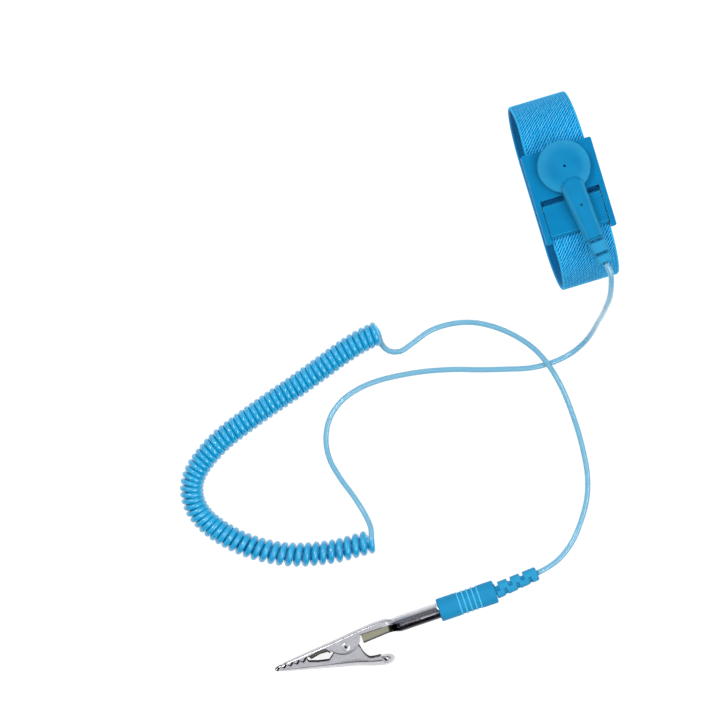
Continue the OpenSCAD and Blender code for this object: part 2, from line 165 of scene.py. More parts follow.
def ring_faces(rings, sides):
    """Faces of a closed skin over rings of points, each with the same number of sides."""
    faces = []
    for i in range(rings - 1):
        for k in range(sides):
            n = (k + 1) % sides
            faces.append((i * sides + k, i * sides + n, (i + 1) * sides + n, (i + 1) * sides + k))
    faces.append(tuple(reversed(range(sides))))
    faces.append(tuple(range((rings - 1) * sides, rings * sides)))
    return faces


def unit(rows):
    """Vectors in the rows of an array, each brought to a length of 1."""
    return rows / np.linalg.norm(rows, axis=1)[:, None]


def blend(p, q, start, end, t):
    """The point between p and q where t lies between start and end."""
    return (end - t) / (end - start) * p + (t - start) / (end - start) * q


def smooth_line(points, step):
    """A centripetal curve through the points, with a new point about every step."""
    p = np.asarray(points, float)
    p = np.vstack([2 * p[0] - p[1], p, 2 * p[-1] - p[-2]])
    line = []
    for i in range(1, len(p) - 2):
        a, b, c, d = p[i - 1:i + 3]
        t0 = 0.0
        t1 = t0 + math.sqrt(np.linalg.norm(b - a))
        t2 = t1 + math.sqrt(np.linalg.norm(c - b))
        t3 = t2 + math.sqrt(np.linalg.norm(d - c))
        count = max(1, round(np.linalg.norm(c - b) / step))
        for t in np.linspace(t1, t2, count, endpoint=False):
            ab = blend(a, b, t0, t1, t)
            bc = blend(b, c, t1, t2, t)
            cd = blend(c, d, t2, t3, t)
            abc = blend(ab, bc, t0, t2, t)
            bcd = blend(bc, cd, t1, t3, t)
            line.append(blend(abc, bcd, t1, t2, t))
    line.append(p[-2])
    return np.array(line)


def distances(line):
    """How far along a line each of its points is."""
    steps = np.linalg.norm(np.diff(line, axis=0), axis=1)
    return np.concatenate([[0], np.cumsum(steps)])


def tube(line, radius, sides):
    """Points and faces of a tube along a line, without twist. The radius may change along it."""
    radius = np.broadcast_to(radius, len(line))
    ways = unit(np.gradient(line, axis=0))
    side = np.cross(ways[0], (0, 0, 1))
    angles = 2 * np.pi * np.arange(sides) / sides
    rings = []
    for point, way, r in zip(line, ways, radius):
        side = side - way * side.dot(way)
        side /= np.linalg.norm(side)
        up = np.cross(side, way)
        rings.append(point + r * (np.cos(angles)[:, None] * side + np.sin(angles)[:, None] * up))
    return np.concatenate(rings), ring_faces(len(line), sides)


def turned(points, at, turn):
    """Points drawn along a local X axis, turned about Z and moved to a place in the part."""
    a = math.radians(turn)
    spin = np.array([[math.cos(a), -math.sin(a), 0], [math.sin(a), math.cos(a), 0], [0, 0, 1]])
    return np.asarray(points, float) @ spin.T + np.asarray(at, float)


def lathe(profile, sides):
    """Points and faces of a shape turned about X, from points of X and radius."""
    angles = 2 * np.pi * np.arange(sides) / sides
    rings = [np.column_stack([np.full(sides, x), r * np.cos(angles), r * np.sin(angles)])
             for x, r in profile]
    return np.concatenate(rings), ring_faces(len(profile), sides)


def stood_up(points):
    """Points drawn along X, turned to stand along Z."""
    return np.column_stack([points[:, 1], points[:, 2], points[:, 0]])


# -------- materials

class Finish:
    """A material under construction: one Principled shader and the nodes that feed it."""

    def __init__(self, name, color, **settings):
        self.material = bpy.data.materials.new(name)
        self.material.use_nodes = True
        self.tree = self.material.node_tree
        self.shader = self.tree.nodes["Principled BSDF"]
        self.shader.inputs["Base Color"].default_value = (*color, 1)
        for socket, value in settings.items():
            self.shader.inputs[socket.replace("_", " ")].default_value = value
        self.place = self.tree.nodes.new("ShaderNodeTexCoord").outputs["Object"]

    def node(self, kind, inputs, **settings):
        """A new node. Each input is a socket to link from, a colour code or a value."""
        made = self.tree.nodes.new("ShaderNode" + kind)
        for key, value in settings.items():
            setattr(made, key, value)
        for key, value in inputs.items():
            if isinstance(value, bpy.types.NodeSocket):
                self.tree.links.new(value, made.inputs[key])
            else:
                made.inputs[key].default_value = (*rgb(value), 1) if isinstance(value, str) else value
        return made

    def noise(self, per_mm, detail=3.0, stretch=(1, 1, 1)):
        """Noise with so many lumps to the millimetre, stretched along an axis where that is below 1."""
        scale = [s * per_mm / MM for s in stretch]
        mapping = self.node("Mapping", {"Vector": self.place, "Scale": scale})
        vector = mapping.outputs["Vector"]
        return self.node("TexNoise", {"Vector": vector, "Scale": 1, "Detail": detail}).outputs["Fac"]

    def ramp(self, value, stops):
        """A colour that changes with a value, from pairs of place and colour code."""
        ramp = self.node("ValToRGB", {"Fac": value})
        elements = ramp.color_ramp.elements
        elements.remove(elements[0])
        elements[0].position = stops[0][0]
        elements[0].color = (*rgb(stops[0][1]), 1)
        for place, code in stops[1:]:
            elements.new(place).color = (*rgb(code), 1)
        return ramp.outputs["Color"]

    def spread(self, value, low, high, start=0.3, end=0.7):
        """A value taken from start..end to low..high."""
        ends = {"From Min": start, "From Max": end, "To Min": low, "To Max": high}
        return self.node("MapRange", {"Value": value, **ends}).outputs["Result"]

    def mix(self, share, first, second):
        """The first colour where share is 0, the second where it is 1."""
        return self.node("Mix", {"Factor": share, 6: first, 7: second}, data_type="RGBA").outputs[2]

    def product(self, one, two):
        """The product of two values, held between 0 and 1."""
        return self.node("Math", {0: one, 1: two}, operation="MULTIPLY", use_clamp=True).outputs[0]

    def attribute(self, name):
        return self.node("Attribute", {}, attribute_name=name).outputs["Fac"]

    def edges(self):
        """About half on flat faces, and more along outer edges."""
        return self.node("NewGeometry", {}).outputs["Pointiness"]

    def color(self, output):
        self.tree.links.new(output, self.shader.inputs["Base Color"])

    def roughness(self, output):
        self.tree.links.new(output, self.shader.inputs["Roughness"])

    def bump(self, *layers):
        """Stacks bumps, each a value and its height in millimetres."""
        below = {}
        for value, height in layers:
            bump = self.node("Bump", {"Distance": height * MM, "Height": value, **below})
            below = {"Normal": bump.outputs["Normal"]}
        self.tree.links.new(below["Normal"], self.shader.inputs["Normal"])


def knit_band():
    """Elastic knit: light raised stitches over darker ground, with fine fibres. The lightness is painted:
    painted shade in the ground between stitches and a painted highlight on their tops.
    """
    finish = Finish("knit_band", rgb("1E96DC"), Sheen_Weight=0.12, Sheen_Roughness=0.5, Roughness=0.8,
                    Specular_IOR_Level=0.12)
    finish.shader.inputs["Sheen Tint"].default_value = (*rgb("9FD4F5"), 1)
    fibres = finish.noise(9, 4)
    # painted shade and highlight: the colour runs from dark in the hollows to light on the stitch tops
    ground = finish.ramp(finish.attribute("rise"), [
        (0, "004872"), (0.14, "005E9C"), (0.38, "0089CA"), (0.72, "2AB6E6"), (1, "84D8F6")])
    worn = finish.spread(fibres, 0, 0.25)
    finish.color(finish.mix(worn, ground, "0695D0"))
    finish.roughness(finish.spread(fibres, 0.68, 0.9))
    finish.bump((finish.noise(4, 2), 0.03), (fibres, 0.05))
    return finish.material


def blue_plastic():
    """Moulded plastic: even blue with faint clouds, satin gloss and a very fine tool texture."""
    finish = Finish("blue_plastic", rgb("0074AC"), Roughness=0.5, IOR=1.49, Specular_IOR_Level=0.06)
    clouds = finish.noise(0.25, 2)
    fine = finish.noise(6, 3)
    tint = finish.ramp(clouds, [(0.3, "0071A3"), (0.7, "0079AB")])
    # pale lightens the colour: painted highlights on the plug, the sleeve's rings and rounded edges, and a
    # lighter tone on the reliefs
    paleness = finish.spread(finish.attribute("pale"), 0, 1, 0, 1)
    pale = finish.mix(paleness, tint, "56C2E6")
    # painted highlight: rims are lightened only where a piece is pale: all over a dense mesh, and along
    # rounded edges
    outer = finish.spread(finish.edges(), 0, 0.5, 0.585, 0.68)
    painted_rim_light = finish.product(finish.product(paleness, 30), outer)
    finish.color(finish.mix(painted_rim_light, pale, "34B0DC"))
    finish.roughness(finish.spread(fine, 0.44, 0.58))
    finish.bump((fine, 0.006), (finish.noise(0.7, 1), 0.02))
    return finish.material


def lead_jacket():
    """Extruded jacket: clear light blue, glossy, with faint drawing lines."""
    finish = Finish("lead_jacket", rgb("2AA4DC"), Roughness=0.18, IOR=1.5, Specular_IOR_Level=0.5,
                    Coat_Weight=0.6, Coat_Roughness=0.06, Subsurface_Weight=0.3, Subsurface_Scale=0.0015)
    finish.shader.inputs["Subsurface Radius"].default_value = (0.4, 0.8, 1.0)
    clouds = finish.noise(0.12, 2)
    fine = finish.noise(5, 3)
    wound = finish.ramp(clouds, [(0.3, "0C97C6"), (0.7, "149FCE")])
    # painted light: the lower half of the see-through turns is lightened
    glowing = finish.mix(finish.attribute("deep"), wound, "36C8F5")
    # pale: a painted reflection along the coil's sides, and the paler straight cord
    finish.color(finish.mix(finish.attribute("pale"), glowing, "6CA9C3"))
    finish.roughness(finish.spread(fine, 0.13, 0.22))
    finish.bump((fine, 0.008))
    return finish.material


def nickel(name, light, dark, rough):
    """Plated metal with fine handling marks. Painted shade darkens the inside of bent sheet, and painted
    shadow makes creases dark.
    """
    finish = Finish(name, rgb(light), Metallic=1.0, Roughness=rough)
    film = finish.noise(0.3, 3)
    marks = finish.noise(5, 3, stretch=(0.12, 1, 1))
    plate = finish.ramp(film, [(0.25, dark), (0.75, light)])
    # painted shade on the inner skin: olive where lightly shaded, nearly black deep inside
    inner = finish.ramp(finish.attribute("inside"), [(0.6, "B0AE98"), (0.9, "2A2A30")])
    skin = finish.mix(finish.spread(finish.attribute("inside"), 0, 1, 0.1, 0.5), plate, inner)
    # painted shadow along creases, sheet edges and flange rims
    finish.color(finish.mix(finish.attribute("crease"), skin, "4C4C54"))
    finish.roughness(finish.spread(marks, rough - 0.03, rough + 0.06))
    finish.bump((marks, 0.0012))
    return finish.material


def brushed_steel():
    """Bare steel, brushed along Y."""
    finish = Finish("contact_steel", rgb("C9C9CC"), Metallic=1.0, Roughness=0.3)
    brushing = finish.noise(14, 3, stretch=(1, 0.05, 1))
    finish.color(finish.ramp(brushing, [(0.25, "AFB0B4"), (0.75, "DADADC")]))
    finish.roughness(finish.spread(brushing, 0.22, 0.42))
    finish.bump((brushing, 0.01))
    return finish.material


def pin_in_painted_shade():
    """Turned metal painted dark: painted shade, for pins that sit in shade inside the clip's barrel and the
    flap's hinge.
    """
    finish = Finish("pin_nickel", rgb("55555C"), Metallic=1.0, Roughness=0.28)
    turning = finish.noise(12, 2, stretch=(1, 0.1, 0.1))
    finish.color(finish.ramp(finish.noise(0.6, 3), [(0.3, "4A4A52"), (0.7, "64646C")]))
    finish.roughness(finish.spread(turning, 0.2, 0.38))
    finish.bump((turning, 0.008))
    return finish.material


def resistor_body():
    """Pale lacquer."""
    finish = Finish("resistor_body", rgb("7FB4C4"), Roughness=0.45)
    lacquer = finish.noise(1.5, 2)
    finish.color(finish.ramp(lacquer, [(0.3, "6FA6B8"), (0.7, "8FC1CF")]))
    finish.roughness(finish.spread(lacquer, 0.35, 0.55))
    finish.bump((lacquer, 0.02))
    return finish.material


def floor_paper():
    """White paper. It glows a little, so that it stays white around the part."""
    finish = Finish("floor_paper", (0.25, 0.25, 0.25), Roughness=0.9, Emission_Strength=0.84)
    finish.shader.inputs["Emission Color"].default_value = (1, 1, 1, 1)
    grain = finish.noise(1.0, 3)
    finish.bump((grain, 0.01))
    return finish.material


materials = {
    "knit_band": knit_band(),
    "blue_plastic": blue_plastic(),
    "lead_jacket": lead_jacket(),
    "contact_steel": brushed_steel(),
    "snap_nickel": nickel("snap_nickel", "76757A", "5E5D62", 0.24),
    "clip_nickel": nickel("clip_nickel", "D0CFD3", "C4C3C8", 0.22),
    "pin_nickel": pin_in_painted_shade(),
    "resistor_body": resistor_body(),
}


# -------- camera, light and floor, in metres

CAMERA_AT = (-0.07632, -0.03272, 0.95)
CAMERA_TURN = -16.7
SENSOR_W = 36
LENS = 147.25
LIT_MIDDLE = (-0.06, -0.06, 0)
# name, place, size and power
LIGHTS = [
    ("softbox", (-0.4, 0.45, 0.8), (0.9, 0.9), 1.4),
    ("spot", (-0.34, 0.3, 0.85), (0.2, 0.2), 2.6),
    ("fill", (0.3, -0.5, 0.75), (0.8, 0.5), 5.5),
]
FLOOR_HALF = 1.5
FLOOR_DROP = 0.0001
WALLS_RISE = (0, 0.45, 0.89)  # the way in which the studio's walls grow lighter
WALLS_LOW = (0.09, 0.09, 0.095)
WALLS_HIGH = (0.95, 0.96, 1)
WALLS_WHITE_AT = 0.62
WALLS_STRENGTH = 0.75


def add_camera():
    """Looks straight down on the part."""
    camera = bpy.data.objects.new("camera", bpy.data.cameras.new("camera"))
    scene.collection.objects.link(camera)
    camera.location = CAMERA_AT
    camera.rotation_euler = (0, 0, math.radians(CAMERA_TURN))
    camera.data.sensor_width = SENSOR_W
    camera.data.lens = LENS
    scene.camera = camera


def add_light(name, at, size, power):
    light = bpy.data.lights.new(name, "AREA")
    light.shape = "RECTANGLE"
    light.size, light.size_y = size
    light.energy = power
    lamp = bpy.data.objects.new(name, light)
    scene.collection.objects.link(lamp)
    lamp.location = at
    lamp.rotation_euler = (Vector(LIT_MIDDLE) - Vector(at)).to_track_quat("-Z", "Y").to_euler()


def add_floor():
    half = FLOOR_HALF
    corners = [(-half, -half, 0), (half, -half, 0), (half, half, 0), (-half, half, 0)]
    mesh = bpy.data.meshes.new("floor")
    mesh.from_pydata(corners, [], [(0, 1, 2, 3)])
    mesh.materials.append(floor_paper())
    floor = bpy.data.objects.new("floor", mesh)
    floor.location = (0, 0, -FLOOR_DROP)
    scene.collection.objects.link(floor)


def studio_walls():
    """White overhead and behind the part, and dark low down on the near side."""
    world = bpy.data.worlds.new("studio")
    world.use_nodes = True
    tree = world.node_tree
    way = tree.nodes.new("ShaderNodeTexCoord").outputs["Generated"]
    height = tree.nodes.new("ShaderNodeVectorMath")
    height.operation = "DOT_PRODUCT"
    height.inputs[1].default_value = WALLS_RISE
    tree.links.new(way, height.inputs[0])
    ramp = tree.nodes.new("ShaderNodeValToRGB")
    low, high = ramp.color_ramp.elements
    low.position = 0.0
    low.color = (*WALLS_LOW, 1)
    high.position = WALLS_WHITE_AT
    high.color = (*WALLS_HIGH, 1)
    tree.links.new(height.outputs["Value"], ramp.inputs["Fac"])
    background = tree.nodes["Background"]
    tree.links.new(ramp.outputs["Color"], background.inputs["Color"])
    background.inputs["Strength"].default_value = WALLS_STRENGTH
    return world


def add_studio():
    add_camera()
    for light in LIGHTS:
        add_light(*light)
    add_floor()
    scene.world = studio_walls()
    scene.view_settings.view_transform = "Standard"


# -------- the lead

COIL_STEPS = 16  # points to a turn
COIL_AXIS_STEP = 0.5
LEAD_STEP = 1.5
LEAD_SIDES = 12
TURNS_PRESS = 0.08  # touching turns sink into each other
COIL_SIDE_REFLECTION = 0.4
COIL_UNDERSIDE_GLOW = 0.8
GLOW_UNDER = (3.0, 4.6)


def coil_line():
    """The middle of the wire along the curly part: a left-handed helix around the coil's route."""
    axis = smooth_line(COIL_ROUTE, COIL_AXIS_STEP)
    along = distances(axis)
    # how many turns lie before each point
    pitch = np.interp(along, *zip(*COIL_PITCHES))
    turns = np.concatenate([[0], np.cumsum(np.diff(along) * 2 / (pitch[1:] + pitch[:-1]))])
    turns *= COIL_TURNS / turns[-1]
    steps = np.linspace(0, COIL_TURNS, round(COIL_TURNS * COIL_STEPS) + 1)
    place = np.interp(steps, turns, along)
    middle = np.column_stack([np.interp(place, along, axis[:, i]) for i in range(3)])
    up = np.array((0, 0, 1))
    side = unit(np.cross(up, unit(np.gradient(middle, axis=0))))
    angle = (np.pi / 2 - 2 * np.pi * steps)[:, None]
    middle = middle + COIL_R * (np.cos(angle) * side + np.sin(angle) * up)
    # the jacket was squeezed where the turns lie closest
    return middle, np.clip(np.interp(place, along, pitch) + TURNS_PRESS, CORD_D, COIL_CORD_D)


def lead_line():
    """The whole lead from the plug through the coil to the clip: middle line, thickness and paleness, which
    holds a painted reflection along the coil's sides.
    """
    coil, coil_d = coil_line()
    before = smooth_line(PLUG_ROUTE + list(coil[:3]), LEAD_STEP)
    after = smooth_line(list(coil[-3:]) + CLIP_ROUTE, LEAD_STEP)
    start = np.argmin(np.linalg.norm(before - coil[0], axis=1))
    end = np.argmin(np.linalg.norm(after - coil[-1], axis=1))
    line = np.vstack([before[:start], coil, after[end + 1:]])
    turns = slice(start, start + len(coil))
    thick = np.full(len(line), CORD_D)
    thick[turns] = coil_d
    # painted reflection: turns are palest along both sides of the coil; straight cord is pale all over
    level = np.abs(np.interp(coil[:, 2], (1, 7), (-1, 1)))
    pale = np.ones(len(line))
    pale[turns] = COIL_SIDE_REFLECTION * (1 - smoothstep(0, 0.75, level))
    thick = np.convolve(thick, np.ones(COIL_STEPS) / COIL_STEPS, "same")
    return line, np.maximum(CORD_D, thick), pale


def add_lead():
    """One cable. Its jacket is a little thicker where it was wound and set."""
    line, thick, pale = lead_line()
    points, faces = tube(line, thick / 2, LEAD_SIDES)
    lead = new_piece("lead_cable", points, faces, "lead", "lead_jacket",
                     ("cord_plug_end", "cord_coil", "cord_clip_end"))
    point_attribute(lead, "pale", np.repeat(pale, LEAD_SIDES))
    # painted light on the lower half of the coil's turns
    in_coil = np.repeat(COIL_UNDERSIDE_GLOW * (pale < 1), LEAD_SIDES)
    point_attribute(lead, "deep", in_coil * (1 - smoothstep(*GLOW_UNDER, points[:, 2])))
    return lead, line


# -------- the band

KNIT_W = 18.4
BAND_X = 0.3
STITCH_ACROSS = 0.98
STITCH_ALONG = 1.16
STITCH_L = 2.0
STITCH_W = 0.36
STITCH_TURN = 34.0  # from the band's length
STITCH_RISE = 0.17
GROUND_DROP = 0.11
SELVEDGE_W = 0.75
BAND_STEP = 0.19
BAND_ACROSS = 151
BAND_ACROSS_INSIDE = 25
BAND_CROWD = 1.3  # columns of points lie closer together towards the edges
BAND_EDGE_R = 0.6
SHADOW_HALF = 12.9  # painted shadow: under the buckle the knit looks smooth and dark
SHADOW_STITCH_SHARE = 0.16
HELD_FADE = (11, 24)  # along the band from its ends, where the buckle's hold on it fades
HELD_SPREAD = 0.03


def loop_line():
    """The band's outer line in Y and Z, from one end under the deck to the other, with even steps."""
    corners = [(BAND_ENDS[0], LOOP_H)]
    for side in (1, -1):
        flat = FLAT_HALF + side * BUCKLE_Y
        for a in np.radians(np.linspace(90, -90, 181)):
            out = flat + (LOOP_W / 2 - flat) * math.cos(a)
            corners.append((side * out, LOOP_H / 2 * (1 + side * math.sin(a))))
    corners.append((BAND_ENDS[1], LOOP_H))
    corners = np.array(corners)
    along = distances(corners)
    places = np.linspace(0, along[-1], round(along[-1] / BAND_STEP) + 1)
    return places, np.column_stack([np.interp(places, along, corners[:, i]) for i in (0, 1)])


def stitches(x, s):
    """How high the knit stands at a place across and along the band, from 0 on the ground to 1."""
    rng = np.random.default_rng(7)
    shift = rng.uniform(-0.07, 0.07, (64, 256, 2))
    tall = rng.uniform(0.78, 1, (64, 256))
    a = math.radians(STITCH_TURN)
    column, row = np.round(x / STITCH_ACROSS).astype(int), np.round(s / STITCH_ALONG).astype(int)
    rise = np.zeros(np.broadcast(x, s).shape)
    for i in (-1, 0, 1):
        for j in (-2, -1, 0, 1, 2):
            c, r = np.broadcast_arrays(column + i, row + j)
            dx = x - c * STITCH_ACROSS - shift[c, r, 0]
            ds = s - r * STITCH_ALONG - shift[c, r, 1]
            along = np.abs(dx * math.sin(a) + ds * math.cos(a)) / (STITCH_L / 2)
            across = (dx * math.cos(a) - ds * math.sin(a)) / (STITCH_W / 2)
            rise = np.maximum(rise, tall[c, r] * np.exp(-across ** 2) * (1 - smoothstep(0.6, 1.05, along)))
    # twisted loops along both selvedges
    edge = smoothstep(KNIT_W / 2 - SELVEDGE_W, KNIT_W / 2 - SELVEDGE_W + 0.25, np.abs(x))
    loops = 0.55 + 0.3 * np.cos(2 * np.pi * (s / (STITCH_ALONG / 2) + x))
    return rise * (1 - edge) + loops * edge


def edge_depth(x):
    """How far the band's rounded edges lie below its face."""
    over = np.clip(np.abs(x) - (KNIT_W / 2 - BAND_EDGE_R), 0, BAND_EDGE_R)
    return BAND_EDGE_R - np.sqrt(BAND_EDGE_R ** 2 - over ** 2)


def add_band():
    """The band as one strip: stitches in relief outside, shallow ribs inside, and the buckle's hold on it."""
    places, line = loop_line()
    way = unit(np.gradient(line, axis=0))
    out = np.column_stack([-way[:, 1], way[:, 0]])
    x_out = KNIT_W / 2 * np.sin(np.linspace(-1, 1, BAND_ACROSS) * BAND_CROWD) / math.sin(BAND_CROWD)
    x_in = np.linspace(KNIT_W / 2, -KNIT_W / 2, BAND_ACROSS_INSIDE + 2)[1:-1]
    # the outside's colour value starts at 0.1, above the inside's painted shade
    rise_out = 0.1 + 0.9 * stitches(x_out[None, :], places[:, None])
    # painted shade: the inside of the loop takes only the dark low end of the knit's colour
    ribs = 0.04 + 0.04 * np.cos(2 * np.pi * x_in / STITCH_ACROSS)
    ribs = np.broadcast_to(ribs, (len(places), len(x_in)))
    depth_out = edge_depth(x_out)[None, :] + GROUND_DROP - STITCH_RISE * rise_out
    depth_in = BAND_T - edge_depth(x_in)[None, :] - 0.05 + 0.05 * ribs
    depth = np.concatenate([depth_out, depth_in], axis=1)
    held = 1 - smoothstep(*HELD_FADE, np.minimum(places, places[-1] - places))[:, None]
    sway = 0.004 * np.sin(places / 8.5)[:, None]
    x = np.concatenate([x_out, x_in])[None, :] * (1 + HELD_SPREAD * held + sway)
    y, z = line[:, :1] - depth * out[:, :1], line[:, 1:] - depth * out[:, 1:]
    points = np.stack([x + BAND_X * (1 - held), y, z], axis=2)
    faces = ring_faces(len(places), points.shape[1])
    band = new_piece("band_knit", points.reshape(-1, 3), faces, "wristband", "knit_band", ("band",))
    # painted shadow under the buckle's deck: the colour value is cut down there
    in_shadow = ((line[:, 1] > LOOP_H / 2) & (np.abs(line[:, 0] - BUCKLE_Y) < SHADOW_HALF))[:, None]
    shade = np.concatenate([rise_out * np.where(in_shadow, SHADOW_STITCH_SHARE, 1), ribs], axis=1)
    point_attribute(band, "rise", shade.ravel())


# -------- the snap plug

PLUG_AT = (STUD[0] + 0.5, STUD[1] - 0.1)  # the cover sits a little askew on its socket
HUMP_FROM = 3.5
HUMP_NOSE = 6.9
HUMP_ROOT_W = 3.6
HUMP_END_W = 2.45
HUMP_TOPS = (52.0, 51.35)
HUMP_WAIST = 49.2
FLANGE_OVER = 0.42
FLANGE_TOP = 48.2
CAP_R = 7.75
CAP_EDGE = 49.15
PLUG_VOXEL = 0.16
HUMP_POINTS = 40
MARK_R = 0.42
MARK_DEPTH = 1.5
MARK_FROM = 13.0  # along the arm


def on_arm(points):
    """Points drawn from the stud along the plug's arm, with heights above the table."""
    return turned(points, (*PLUG_AT, 0), ARM_TURN)


def dome_shell():
    """The dome: a straight rim, a rounded shoulder and a low cap."""
    ball = (CAP_R ** 2 + (DOME_TOP - CAP_EDGE) ** 2) / (2 * (DOME_TOP - CAP_EDGE))
    slope = math.degrees(math.asin(CAP_R / ball))
    profile = [(DOME_UNDER, 0.01), (DOME_UNDER, DOME_R - 0.2), (DOME_UNDER + 0.15, DOME_R - 0.02),
               (DOME_UNDER + 1, DOME_R - 0.03), (CAP_EDGE - 0.75, DOME_R - 0.12)]
    for a in np.radians(range(0, 70, 15)):
        profile.append((CAP_EDGE - 0.4 + 0.4 * math.sin(a), CAP_R + 0.38 * math.cos(a)))
    for a in np.radians(np.linspace(slope, 0.2, 24)):
        profile.append((DOME_TOP - ball + ball * math.cos(a), ball * math.sin(a)))
    points, faces = lathe(profile, 96)
    return stood_up(points) + (*PLUG_AT, 0), faces


def hump_shell():
    """The arm: boxy-round cross sections, with a round nose that climbs out of the dome."""
    rings = []
    angles = np.linspace(0, np.pi, HUMP_POINTS)
    nose = HUMP_NOSE - (HUMP_NOSE - HUMP_FROM) * np.cos(np.linspace(0.03, np.pi / 2, 16))
    stations = np.concatenate([nose, np.linspace(HUMP_NOSE, ARM_L - 0.12, 20)[1:], [ARM_L]])
    for s in stations:
        share = (s - HUMP_NOSE) / (ARM_L - HUMP_NOSE)
        back = max(0.0, (HUMP_NOSE - s) / (HUMP_NOSE - HUMP_FROM))
        width = (HUMP_ROOT_W + (HUMP_END_W - HUMP_ROOT_W) * max(share, 0)) * math.sqrt(1 - back ** 2)
        top = HUMP_TOPS[0] + (HUMP_TOPS[1] - HUMP_TOPS[0]) * max(share, 0)
        high = (top - HUMP_WAIST) * (1 - back ** 2.6) ** (1 / 2.6)
        if s == ARM_L:
            width -= 0.12
            high -= 0.12
        across = width * np.sign(np.cos(angles)) * np.abs(np.cos(angles)) ** 0.8
        arch = np.column_stack([np.full(HUMP_POINTS, s), across, HUMP_WAIST + high * np.sin(angles) ** 0.8])
        foot = [(s, -width, ARM_UNDER + 0.2), (s, width, ARM_UNDER + 0.2)]
        rings.append(np.vstack([arch, foot]))
    return on_arm(np.concatenate(rings)), ring_faces(len(rings), HUMP_POINTS + 2)


def flange_shell():
    """The thin foot that runs round the arm and out past it a little on both sides."""
    root, end = HUMP_ROOT_W + FLANGE_OVER, HUMP_END_W + FLANGE_OVER
    heights = ((ARM_UNDER, 0.1), (ARM_UNDER + 0.1, 0), (FLANGE_TOP - 0.15, 0), (FLANGE_TOP, 0.15))
    rings = [[(2, -root + d, z), (ARM_L - d, -end + d, z), (ARM_L - d, end - d, z), (2, root - d, z)]
             for z, d in heights]
    return on_arm(np.concatenate(rings)), ring_faces(len(rings), 4)


def bore(piece, at):
    """Cuts one of the plug's small round marks straight down into it."""
    mesh = bpy.data.meshes.new("bore")
    shape = bmesh.new()
    place = Matrix.Translation([c * MM for c in at])
    bmesh.ops.create_cone(shape, cap_ends=True, segments=24, radius1=MARK_R * MM, radius2=MARK_R * MM,
                          depth=2 * MARK_DEPTH * MM, matrix=place)
    shape.to_mesh(mesh)
    shape.free()
    tool = bpy.data.objects.new("bore", mesh)
    scene.collection.objects.link(tool)
    cut = piece.modifiers.new("bore", "BOOLEAN")
    cut.operation = "DIFFERENCE"
    cut.object = tool
    cut.solver = "EXACT"
    apply_modifiers(piece)
    bpy.data.objects.remove(tool)


def add_plug():
    """The plug: dome, arm and foot grown into one skin, with a small mark on the dome and one on the arm."""
    points, faces, start = [], [], 0
    for shell_points, shell_faces in (dome_shell(), hump_shell(), flange_shell()):
        points.append(shell_points)
        faces += [tuple(i + start for i in face) for face in shell_faces]
        start += len(shell_points)
    skin = np.concatenate(points)
    housing = new_piece("plug_shell", skin, faces, "lead", "blue_plastic", ("plug_housing",))
    remesh = housing.modifiers.new("one skin", "REMESH")
    remesh.mode = "VOXEL"
    remesh.voxel_size = PLUG_VOXEL * MM
    remesh.use_smooth_shade = True
    soften = housing.modifiers.new("soft creases", "SMOOTH")
    soften.factor = 0.5
    soften.iterations = 8
    apply_modifiers(housing)
    bore(housing, (*PLUG_AT, DOME_TOP))
    bore(housing, on_arm([(MARK_FROM, 0, (HUMP_TOPS[0] + HUMP_TOPS[1]) / 2)])[0])
    paint(housing, "blue_plastic")
    housing.data.shade_smooth()
    point_attribute(housing, "pale", plug_painted_highlight(housing))


def plug_painted_highlight(piece):
    """Painted highlight on the moulded skin: paler towards the dome's rim and along the arm's two sides."""
    points = np.array([v.co for v in piece.data.vertices]) / MM - (*PLUG_AT, 0)
    a = math.radians(ARM_TURN)
    along = points[:, 0] * math.cos(a) + points[:, 1] * math.sin(a)
    across = np.abs(points[:, 1] * math.cos(a) - points[:, 0] * math.sin(a))
    radius = np.hypot(points[:, 0], points[:, 1])
    share = np.clip((along - HUMP_NOSE) / (ARM_L - HUMP_NOSE), 0, 1)
    on_hump = smoothstep(CAP_EDGE + 1.2, CAP_EDGE + 1.9, points[:, 2]) * (along > HUMP_FROM)
    rim = 0.16 * smoothstep(4, CAP_R, radius) * (radius < DOME_R)
    side = 0.2 * smoothstep(0.55, 0.95, across / (HUMP_ROOT_W + (HUMP_END_W - HUMP_ROOT_W) * share))
    on_arm_top = (along > HUMP_NOSE - 1) & (across < HUMP_ROOT_W)
    return 0.04 + np.where(on_arm_top, side, rim * (1 - on_hump))


# -------- strain reliefs

RELIEF_STEP = 0.09
RELIEF_SIDES = 72
RELIEF_RIM = 0.3
RELIEF_RIM_L = 0.35
RELIEF_TONE_AND_RIM_LIGHT = 0.25


def slotted_relief(length, root, tip, slots, box):
    """A tapering bar along X with slots, each given by place, width, depth, side and half angle.

    The side is the angle that a slot is cut from, in degrees from +Y towards +Z. A larger box is squarer."""
    count = round(length / RELIEF_STEP) + 1
    x = np.linspace(0, length, count)[:, None]
    a = (2 * np.pi * np.arange(RELIEF_SIDES) / RELIEF_SIDES)[None, :]
    round_off = (np.abs(np.cos(a)) ** box + np.abs(np.sin(a)) ** box) ** (-1 / box)
    radius = (root + (tip - root) * x / length) * round_off
    radius = radius - RELIEF_RIM * (1 - smoothstep(0, RELIEF_RIM_L, x))
    radius = radius - RELIEF_RIM * smoothstep(length - RELIEF_RIM_L, length, x)
    for at, width, depth, side, half in slots:
        off = np.abs((np.degrees(a) - side + 180) % 360 - 180)
        inside = 1 - smoothstep(half - 6, half + 6, off)
        across = 1 - smoothstep(width / 2 - 0.08, width / 2 + 0.08, np.abs(x - at))
        radius = radius - depth * inside * across
    rings = np.stack(np.broadcast_arrays(x, radius * np.cos(a), radius * np.sin(a)), axis=2)
    return rings.reshape(-1, 3), ring_faces(count, RELIEF_SIDES)


